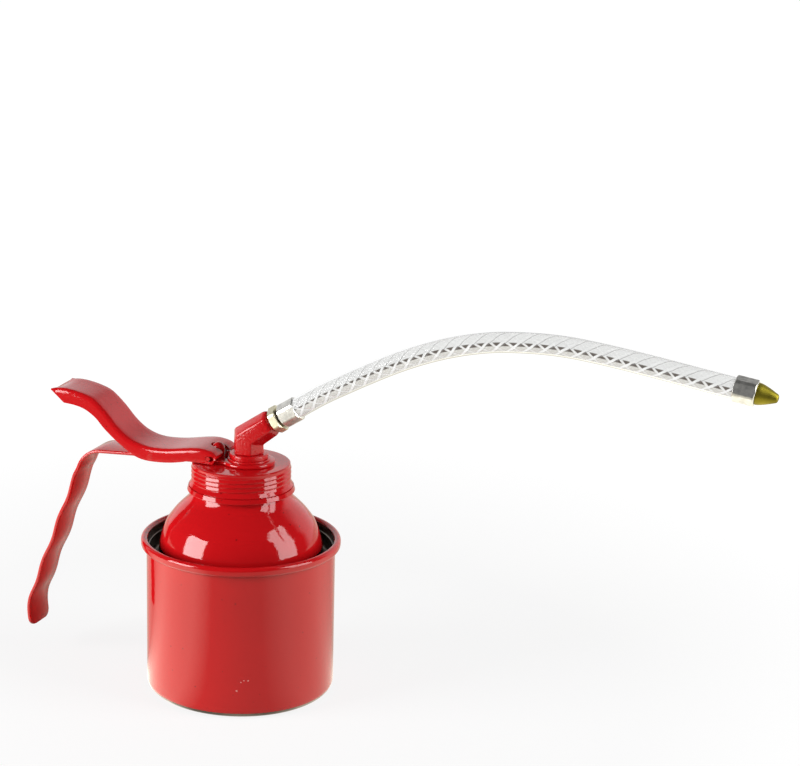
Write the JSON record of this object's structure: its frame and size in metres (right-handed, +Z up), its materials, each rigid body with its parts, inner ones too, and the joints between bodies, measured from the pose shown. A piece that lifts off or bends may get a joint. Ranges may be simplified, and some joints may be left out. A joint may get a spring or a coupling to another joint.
{
  "type": "oil can",
  "caption": "Squat sheet-metal oil can with a squeeze lever pump, a wavy strap handle, a threaded cap and a long braided hose spout that ends in a small nozzle.",
  "frame": {"origin": "centre of the underside of the can's base", "axes": "+Z is up, +X points along the spout, -X towards the grip, and the part is alike on both sides of the XZ plane"},
  "size_m": [0.3716, 0.0984, 0.1962],
  "materials": {
    "can_enamel": "glossy red enamel on drawn sheet steel",
    "handle_enamel": "glossy red enamel on bent strip steel",
    "fitting_enamel": "glossy red enamel on cast and turned metal",
    "plated_steel": "bright zinc plating",
    "turned_steel": "plain turned steel",
    "brass": "dull pale brass",
    "rubber": "black oil-proof rubber",
    "clear_pvc": "clear plastic with white braid"
  },
  "bodies": {
    "reservoir": {"body_cup": "can_enamel", "dome_top": "can_enamel"},
    "cap_seal": {"neck_gasket": "rubber"},
    "pump_head": {"screw_cap": "can_enamel", "strap_handle": "handle_enamel", "pivot_pin": "plated_steel", "gland_bush": "brass", "gland_seal": "rubber", "pump_block": "turned_steel", "pump_cylinder": "turned_steel", "foot_valve": "turned_steel", "inlet_ball": "turned_steel", "suction_tube": "clear_pvc", "strainer": "brass", "clamp_washer": "fitting_enamel", "lock_nut": "fitting_enamel", "elbow": "fitting_enamel", "outlet_ball": "turned_steel", "hose_nipple": "brass", "near_ferrule": "plated_steel", "hose": "clear_pvc", "far_ferrule": "plated_steel", "nozzle": "brass", "return_spring": "plated_steel"},
    "lever": {"lever": "handle_enamel"},
    "plunger": {"pump_rod": "plated_steel", "rod_pin": "plated_steel", "piston": "turned_steel", "piston_seal": "rubber"}
  },
  "joints": [
    {"name": "cap_rise", "type": "slide", "parent": "reservoir", "child": "cap_seal", "axis": [0, 0, 1], "range_m": [0, 0.0111]},
    {"name": "cap_unscrew", "type": "hinge", "parent": "cap_seal", "child": "pump_head", "pos_m": [0, 0, 0.1159], "axis": [0, 0, 1], "range_deg": [0, 900]},
    {"name": "lever_squeeze", "type": "hinge", "parent": "pump_head", "child": "lever", "pos_m": [-0.044, 0, 0.11631], "axis": [0, -1, 0], "range_deg": [0, 14], "stiffness_Nm_per_rad": 0.8, "springref_deg": -11.46},
    {"name": "piston_lift", "type": "slide", "parent": "pump_head", "child": "plunger", "axis": [0, 0, 1], "range_m": [0, 0.0082], "deforming": ["return_spring"]}
  ],
  "couplings": [
    {"joint": "cap_rise", "follows": "cap_unscrew", "m_per_rad": 0.00070028},
    {"joint": "piston_lift", "follows": "lever_squeeze", "m_per_rad": 0.0328}
  ]
}
